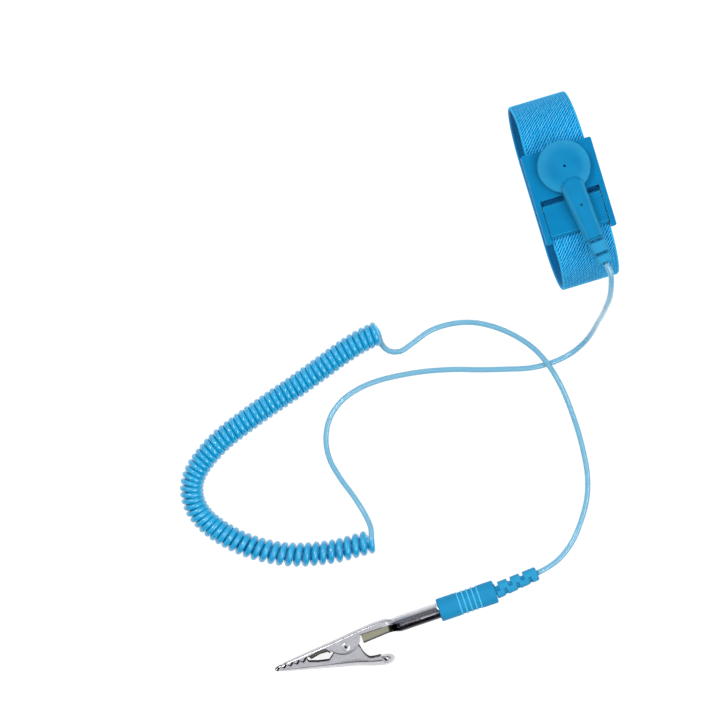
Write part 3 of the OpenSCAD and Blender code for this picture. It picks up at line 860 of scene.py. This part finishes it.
def add_relief(name, node, points, faces):
    relief = new_piece(name, points, faces, "lead", "blue_plastic", (node,))
    # a lighter tone all over, which also lets the painted highlight onto the slots' edges
    point_attribute(relief, "pale", np.full(len(points), RELIEF_TONE_AND_RIM_LIGHT))


def add_plug_relief():
    """Two slots are cut from above, and one between them from below."""
    top, under = 90, 270
    slots = [(0.75, 0.95, 1.7, top, 66), (2.9, 0.8, 1.3, under, 105), (5.1, 0.95, 1.6, top, 66)]
    points, faces = slotted_relief(RELIEF_L, 2.75, 2.55, slots, 3.2)
    points = on_arm(points + (ARM_L - 0.05, 0, STUD[2]))
    add_relief("plug_relief", "plug_strain_relief", points, faces)


def add_clip_relief():
    """Slots are cut from the front and from the back in turn."""
    front, back = -30, 150
    slots = []
    for i in range(3):
        slots.append((1.0 + 4.3 * i, 1.1, 1.15, front, 118))
        slots.append((3.2 + 4.3 * i, 0.95, 1.05, back, 55))
    points, faces = slotted_relief(CLIP_RELIEF_L, 2.55, 2.2, slots, 3.0)
    points = turned(points, SLEEVE_AT, CLIP_RELIEF_TURN)
    add_relief("clip_relief", "clip_strain_relief", points, faces)


# -------- the banana grip

RING_COUNT = 5
RING_PITCH = 1.65
RING_FROM = 5.6  # from the sleeve's rear end
RING_W = 0.34
RING_SINK = 0.2
WAIST_END = RING_FROM + (RING_COUNT - 1) * RING_PITCH
WAIST_FADE = 0.7
SLEEVE_ROUND = 0.55
MOUTH_R = 2.75
MOUTH_L = 2.5


def in_clip(points):
    """Points drawn forward from the sleeve's rear end, with Y towards the lower jaw."""
    return turned(points, SLEEVE_AT, SLEEVE_TURN)


def sleeve_radius(x):
    """The grip's radius: rounded ends, and a shallow waist with fine raised rings."""
    waist = smoothstep(RING_FROM - WAIST_FADE, RING_FROM, x)
    waist = waist - smoothstep(WAIST_END, WAIST_END + WAIST_FADE, x)
    radius = SLEEVE_R - RING_SINK * waist
    for i in range(RING_COUNT):
        off = np.abs(x - RING_FROM - i * RING_PITCH)
        ring = 1 - smoothstep(RING_W / 2 - 0.06, RING_W / 2 + 0.1, off)
        radius = radius + (RING_SINK + 0.12) * ring * waist
    for end in (0.0, SLEEVE_L):
        off = np.clip(SLEEVE_ROUND - np.abs(x - end), 0, SLEEVE_ROUND)
        radius = radius - (SLEEVE_ROUND - np.sqrt(SLEEVE_ROUND ** 2 - off ** 2))
    return radius


def ring_highlights(x):
    """Where the rings' painted highlight goes: 1 on the raised rings and 0 between them."""
    rings = [1 - smoothstep(RING_W / 2, RING_W / 2 + 0.12, np.abs(x - RING_FROM - i * RING_PITCH))
             for i in range(RING_COUNT)]
    return np.max(rings, axis=0)


def add_sleeve():
    """The grip, turned in one: a closed rear, fine rings and a deep open mouth."""
    body = np.concatenate([np.linspace(0, SLEEVE_ROUND, 8), np.arange(0.65, SLEEVE_L - 0.6, 0.06),
                           np.linspace(SLEEVE_L - SLEEVE_ROUND, SLEEVE_L, 8)])
    profile = [(0, 0.01), (0, 2.4)] + list(zip(body, sleeve_radius(body)))
    profile += [(SLEEVE_L, MOUTH_R + 0.15), (SLEEVE_L - 0.15, MOUTH_R), (SLEEVE_L - MOUTH_L, MOUTH_R),
                (SLEEVE_L - MOUTH_L, 0.01)]
    points, faces = lathe(profile, 96)
    sleeve = new_piece("grip_sleeve", in_clip(points), faces, "lead", "blue_plastic", ("banana_sleeve",))
    # painted highlight on the raised rings, over a slightly lighter tone
    point_attribute(sleeve, "pale", 0.15 + 0.75 * ring_highlights(points[:, 0]))


# -------- the clip's two jaws, bent from sheet

SHEET_T = 0.5
BARREL_FROM = 17.5
BARREL_R = 2.55
SLOT_TURN = 18.0
SLOT_HALF = 1.25
UPPER_HALF_W = 3.1
LOWER_HALF_W = 2.5
TIP_X = 74.8
TOOTH_COUNT = 5
TOOTH_PITCH = 2.15
TOOTH_FROM = TIP_X + 0.7
TOOTH_DEPTH = 0.9
TOOTH_DROP = 1.0
TOOTH_SHIFT = 0.33
TOOTH_GAP = 0.16
TEETH_UNTIL = 64.3
EAR_AT = (51.2, -2.2)
EAR_R = 5.8
EAR_UNTIL = 56.2
EAR_FROM = 45.5
PIVOT = (51.2, 1.3)
# the free edge of a wall is rolled over: steps in from it, and how far the sheet is drawn in there
ROLL_STEPS = (0, 0.05, 0.12, 0.22)
ROLL_SINKS = (0.17, 0.08, 0.03, 0)
WALL_POINTS = 10
ARCH_POINTS = 25


def teeth(x):
    """The toothed edge: each tooth rises towards the pivot and drops back."""
    step = np.maximum(TOOTH_FROM - x, 0) / TOOTH_PITCH
    tooth = np.clip(np.floor(step), 0, TOOTH_COUNT - 1)
    share = np.clip(step - tooth, 0, 1) * TOOTH_PITCH
    crest = TOOTH_PITCH - TOOTH_DROP
    shape = np.interp(share, (0, crest - 0.15, crest, TOOTH_PITCH), (0, 1, 1, 0))
    return 0.3 + 0.06 * tooth + TOOTH_DEPTH * shape


def wall(edge, shoulder, half_w):
    """A straight wall whose free edge is rolled over a little."""
    toward = 1 if shoulder > edge else -1
    length = abs(shoulder - edge)
    rim = np.minimum(ROLL_STEPS, 0.8 * length)
    steps = np.concatenate([rim, np.linspace(rim[-1], length, WALL_POINTS - len(rim) + 2)[1:-1]])
    sink = np.interp(steps, ROLL_STEPS, ROLL_SINKS)
    return np.column_stack([edge + toward * steps, half_w - sink])


def channel_section(web, near, far, half_w, crown, boxy):
    """Y and Z of a bent strip: down the near wall, round the web, and up the far wall."""
    crown = min(crown, 0.9 * abs(near - web), 0.9 * abs(far - web))
    toward = 1 if far > web else -1
    shoulder = web + toward * crown
    a = np.linspace(0, np.pi, ARCH_POINTS)
    across = half_w * np.sign(np.cos(a)) * np.abs(np.cos(a)) ** (2 / boxy)
    arch = np.column_stack([shoulder - toward * crown * np.sin(a) ** (2 / boxy), across])
    one = wall(near, shoulder, half_w)
    two = wall(far, shoulder, half_w)[::-1] * (1, -1)
    return np.vstack([one, arch, two])


def barrel_section(start, end):
    """Y and Z of a round barrel that is open from one angle to the other."""
    a = np.radians(np.linspace(start, end, 2 * WALL_POINTS + ARCH_POINTS))
    return np.column_stack([BARREL_R * np.sin(a), BARREL_R * np.cos(a)])


def sheet_piece(name, stations, body, node, dark, web_shade, folds=()):
    """Skins cross sections, given as points in the clip's frame, and gives the skin its sheet thickness.

    dark holds a painted-shade value for the inner skin at each section. The web gets painted shade, darker
    than the walls by web_shade.
    Folds are the section points along sharp bends, which get a painted shadow line."""
    count = len(stations[0])
    faces = [(i * count + k, i * count + k + 1, (i + 1) * count + k + 1, (i + 1) * count + k)
             for i in range(len(stations) - 1) for k in range(count - 1)]
    piece = new_piece(name, in_clip(np.concatenate(stations)), faces, body, "clip_nickel", (node,))
    sheet = piece.modifiers.new("sheet", "SOLIDIFY")
    sheet.thickness = SHEET_T * MM
    sheet.offset = -1
    sheet.use_even_offset = False
    outside = len(piece.data.vertices)
    apply_modifiers(piece)
    point_attribute(piece, "inside", [0.0] * outside + list(np.repeat(dark, count)))
    # painted shadow lines along the walls' free edges and folds, and painted shade over the web
    crease = np.zeros((2 * len(stations), count))
    crease[:, WALL_POINTS + 1:-WALL_POINTS - 1] = web_shade
    crease[:, (0, 1, 2, -3, -2, -1)] = 1
    crease[:, (3, -4)] = 0.8
    crease[:, list(folds)] = 0.8
    point_attribute(piece, "crease", crease.ravel())
    piece.data.set_sharp_from_angle(angle=math.radians(50))
    return piece


def upper_web(x):
    """Y along the upper jaw's back."""
    return np.interp(x, (32.5, 35.4, 38, 41, 47.9, 54.3, 63.9, 70.1, 74.2, TIP_X),
                     (-2.55, -2.95, -3.1, -3.05, -2.45, -1.7, -0.85, -0.3, 0.45, 0.8))


def upper_edge(x, rear):
    """Y along the free edge of a wall of the upper jaw. Behind the ear it lies at rear."""
    ear = EAR_AT[1] + np.sqrt(np.clip(EAR_R ** 2 - (x - EAR_AT[0]) ** 2, 0.01, None))
    cut_ear = np.minimum(ear, np.interp(x, (54.05, EAR_UNTIL), (3, 1.6)))
    front = np.interp(x, (EAR_UNTIL, 57.4, 60, 63, 64.4), (1.6, 0, -0.1, 0.5, 0.62))
    edge = np.where(x > EAR_UNTIL, front, np.where(x > 54.05, cut_ear, ear))
    # the far wall, whose rear lies above 0, also reaches lower between the ear and the teeth
    lower = (rear > 0) * 1.4 * smoothstep(EAR_UNTIL, 57, x) * (1 - smoothstep(63, 64, x))
    edge = np.where(x > TEETH_UNTIL, teeth(x), edge + lower)
    return np.where(x < EAR_FROM, rear, edge)


def add_upper_jaw():
    """A slotted barrel that opens into a channel with ears at the pivot and teeth at the tip."""
    slot = math.degrees(math.asin(SLOT_HALF / BARREL_R))
    near_open = SLOT_TURN + slot
    slotted = barrel_section(SLOT_TURN - slot, near_open - 360)
    closed = barrel_section(near_open - 1, near_open - 360)
    x = np.concatenate([
        np.linspace(BARREL_FROM, 32, 30), np.linspace(32.2, 37, 25), np.linspace(37.3, 45.2, 24),
        np.linspace(45.35, 45.75, 5), np.linspace(46, 56, 40), np.linspace(56.1, 63.8, 40),
        np.arange(63.9, TIP_X, 0.1), [TIP_X]])
    stations = []
    for at in x:
        web = upper_web(at)
        half = np.interp(at, (33, 38, 56, 76.8), (BARREL_R, UPPER_HALF_W, UPPER_HALF_W, 2))
        near = float(upper_edge(at, -0.8))
        far = float(upper_edge(at, np.interp(at, (36.7, EAR_FROM), (1.9, 2.5))))
        if at > TEETH_UNTIL:
            far = min(far + TOOTH_DEPTH, lower_web(at) - 0.6)
        channel = channel_section(web, max(near, web + 0.35), max(far, web + 0.35), half, 0.75, 2.6)
        share = smoothstep(32.3, 36.6, at)
        barrel = slotted if at > BARREL_FROM + 1.5 else closed
        section = barrel * (1 - share) + channel * share
        stations.append(np.column_stack([np.full(len(section), at), section]))
    # painted shade on the inner skin: nearly black in the barrel and at the teeth, olive along the far wall's
    # inside, darker between the ear and the teeth
    dark = np.interp(x, (34, 37, 55, 58, 63, 65), (1, 0.55, 0.55, 0.8, 0.8, 1))
    sheet_piece("upper_jaw", stations, "clip", "clip_upper_jaw", dark, 0.3)


def lower_web(x):
    """Y along the lower jaw's back."""
    return np.interp(x, (41.5, 44, 50, 58.3, 66, 73.5, TIP_X), (10.95, 10.3, 8.3, 6.2, 4.3, 2.35, 1.7))


def lower_edge(x):
    """Y along the free edges of the lower jaw's walls."""
    edge = np.interp(x, (41.5, 43.5, 44.9, 45.6, 46.5, 46.9, 48.6, 51.2, 54.4, 56, 57.6, 61, 64, 64.4),
                     (7.5, 7.3, 7, 6.3, 4.6, 2.5, -0.6, -1.2, 0.4, 2.4, 3.6, 2.9, 1.9, 0.95))
    return np.where(x > TEETH_UNTIL, teeth(x + TOOTH_SHIFT) + TOOTH_GAP, edge)


# the thumb tab's loop
CURL = [(44, 10.3), (41.5, 10.95), (39.8, 11.15), (38.3, 10.8), (37.4, 9.8), (37.6, 8.7), (38.6, 8.0),
        (40.3, 7.7), (42.2, 7.75)]
CURL_MIDDLE = np.array((40.2, 9.4))


def add_lower_jaw():
    """A channel with teeth at the tip, whose rear end curls into the thumb tab."""
    x = np.concatenate([
        np.arange(TIP_X, 64, -0.1), np.linspace(63.9, 56.2, 40), np.linspace(56, 46.6, 50),
        np.linspace(46.4, 41.5, 30)])
    stations = []
    for at in x:
        web = lower_web(at)
        edge = min(float(lower_edge(at)), web - 0.3)
        half = np.interp(at, (41.5, 45, 46.5, 56, 75.8), (3.0, 2.8, LOWER_HALF_W, LOWER_HALF_W, 1.95))
        crown = np.interp(at, (41.5, 48, 66, TIP_X), (2.1, 1.7, 0.9, 0.6))
        section = channel_section(web, edge, edge, half, crown, 1.3)
        stations.append(np.column_stack([np.full(len(section), at), section]))
    # the thumb tab: the strip curls back on itself, and flattens as it goes
    curl = smooth_line([(46, 9.6, 0)] + [(*p, 0) for p in CURL] + [(44, 7.9, 0)], 0.2)[:, :2]
    curl = curl[np.argmin(np.linalg.norm(curl - CURL[1], axis=1)) + 1:]
    last = stations[-1]
    depth = last[:, 1].max() - last[:, 1]
    depth = depth / depth.max()
    for share, point in zip(np.linspace(0, 1, len(curl)), curl):
        near = np.interp(share, (0, 0.1, 0.6, 0.8, 1), (0.9, 0.9, 0.9, 0.45, 0.3))
        reach = (depth * np.where(last[:, 2] > 0, near, 0.95))[:, None]
        half = np.interp(share, (0, 0.5, 0.8, 1), (1, 1.02, 0.95, 0.7))
        stations.append(np.column_stack([point + (CURL_MIDDLE - point) * reach, last[:, 2] * half]))
    at = np.array([s[:, 0].mean() for s in stations])
    # painted shade on the inner skin, darkest towards the teeth
    dark = np.where(at < 60, 0.8, 1)
    sheet_piece("lower_jaw", stations, "jaw", "clip_lower_jaw", dark, 0.12, [WALL_POINTS])


SPRING_R = 1.55
SPRING_WIRE_R = 0.24
SPRING_PITCH = 0.62


def add_clip_spring():
    """Torsion spring around the rivet, with a leg along each jaw."""
    a = np.linspace(-math.pi / 2, 6.0 * math.pi, 120)
    rise = SPRING_PITCH * (a - a.mean()) / (2 * np.pi)
    turns = np.column_stack([PIVOT[0] + SPRING_R * np.cos(a), PIVOT[1] + SPRING_R * np.sin(a), rise])
    low, high = turns[0], turns[-1]
    rear = [low + (-6, -0.35, 0), low + (-3, -0.1, 0), low + (-0.8, 0, 0)]
    front = [high + (0.2, 0.8, 0), high + (1.2, 1.9, 0), high + (2.6, 2.7, 0)]
    line = np.vstack([smooth_line(rear + [low], 0.4)[:-1], turns, smooth_line([high] + front, 0.4)[1:]])
    points, faces = tube(line, SPRING_WIRE_R, 12)
    new_piece("torsion_spring", in_clip(points), faces, "clip", "contact_steel", ("clip_spring",))


# -------- CAD shapes that stay

ROUNDED_EDGE_HIGHLIGHT = 0.45


def refine(node, name, body, slot, width, widen=1.0):
    """A CAD node's shape with its sharp edges rounded. It may be widened a little about X = 0."""
    source = frame["nodes"][node]
    shape = bmesh.new()
    shape.from_mesh(source.data)
    bmesh.ops.remove_doubles(shape, verts=shape.verts, dist=0.002 * MM)
    bmesh.ops.dissolve_limit(shape, angle_limit=math.radians(2), verts=shape.verts, edges=shape.edges)
    sharp = [e for e in shape.edges if e.is_manifold and e.calc_face_angle() > math.radians(30)]
    pale = shape.faces.layers.float.new("pale")
    rounded = bmesh.ops.bevel(shape, geom=sharp, offset=width * MM, segments=3, profile=0.5, affect="EDGES",
                              clamp_overlap=True)
    # painted highlight on the rounded edges
    for face in rounded["faces"]:
        face[pale] = ROUNDED_EDGE_HIGHLIGHT
    bmesh.ops.scale(shape, vec=(widen, 1, 1), verts=shape.verts)
    mesh = bpy.data.meshes.new(name)
    shape.to_mesh(mesh)
    shape.free()
    piece = bpy.data.objects.new(name, mesh)
    piece.matrix_world = source.matrix_world
    scene.collection.objects.link(piece)
    for face in mesh.polygons:
        face.use_smooth = True
    flat = piece.modifiers.new("flat faces", "WEIGHTED_NORMAL")
    flat.mode = "FACE_AREA"
    flat.weight = 100
    return dress(piece, body, slot, (node,))


RIVET_SIDES = 48
FLANGE_R = 1.3
FLANGE_RISE = 0.08
BORE_R = 0.4


def rivet_profile():
    """Heights and radii from the far flange's middle to the bottom of the near bore."""
    far = UPPER_HALF_W
    top = far + FLANGE_RISE
    return [(-top, 0.01), (-top, FLANGE_R - 0.2), (-top + 0.05, FLANGE_R - 0.05), (-far, FLANGE_R),
            (-far, 1.0), (far, 1.0), (far, FLANGE_R), (top - 0.05, FLANGE_R - 0.05), (top, FLANGE_R - 0.2),
            (top, BORE_R + 0.08), (top - 0.1, BORE_R), (far + 0.02, BORE_R), (far + 0.02, 0.01)]


def add_rivet():
    """Rivet through both jaws, with a low flange at each end and the mouth of its bore in the near one."""
    profile = rivet_profile()
    points, faces = lathe(profile, RIVET_SIDES)
    points = stood_up(points) + (*PIVOT, 0)
    rivet = new_piece("pivot_rivet", in_clip(points), faces, "clip", "clip_nickel", ("clip_pivot_rivet",))
    # painted shade in the bore, and a painted shadow line round each flange's rim
    point_attribute(rivet, "inside", np.repeat([0.0] * (len(profile) - 3) + [1.0] * 3, RIVET_SIDES))
    point_attribute(rivet, "crease", np.repeat([float(r == FLANGE_R) for _, r in profile], RIVET_SIDES))
    rivet.data.set_sharp_from_angle(angle=math.radians(50))


def dress_cad_nodes():
    """Finishes for the CAD nodes that are shown as they are."""
    slots = {row["node"]: row["material_slot"] for row in frame["record"]["subparts"]}
    for name, node in frame["nodes"].items():
        if not node.hide_render:
            paint(node, slots[name])


# -------- finish

add_studio()
lead, lead_middle = add_lead()
add_band()
add_plug()
add_plug_relief()
add_clip_relief()
add_sleeve()
add_upper_jaw()
add_lower_jaw()
add_clip_spring()
add_rivet()
refine("buckle_plate", "buckle", "wristband", "blue_plastic", 0.25)
refine("lock_flap", "flap_lever", "flap", "blue_plastic", 0.3, 1.045)
# the hinge pin is painted dark as shade in the hinge gap
refine("flap_hinge_pin", "hinge_pin", "wristband", "pin_nickel", 0.08)
dress_cad_nodes()
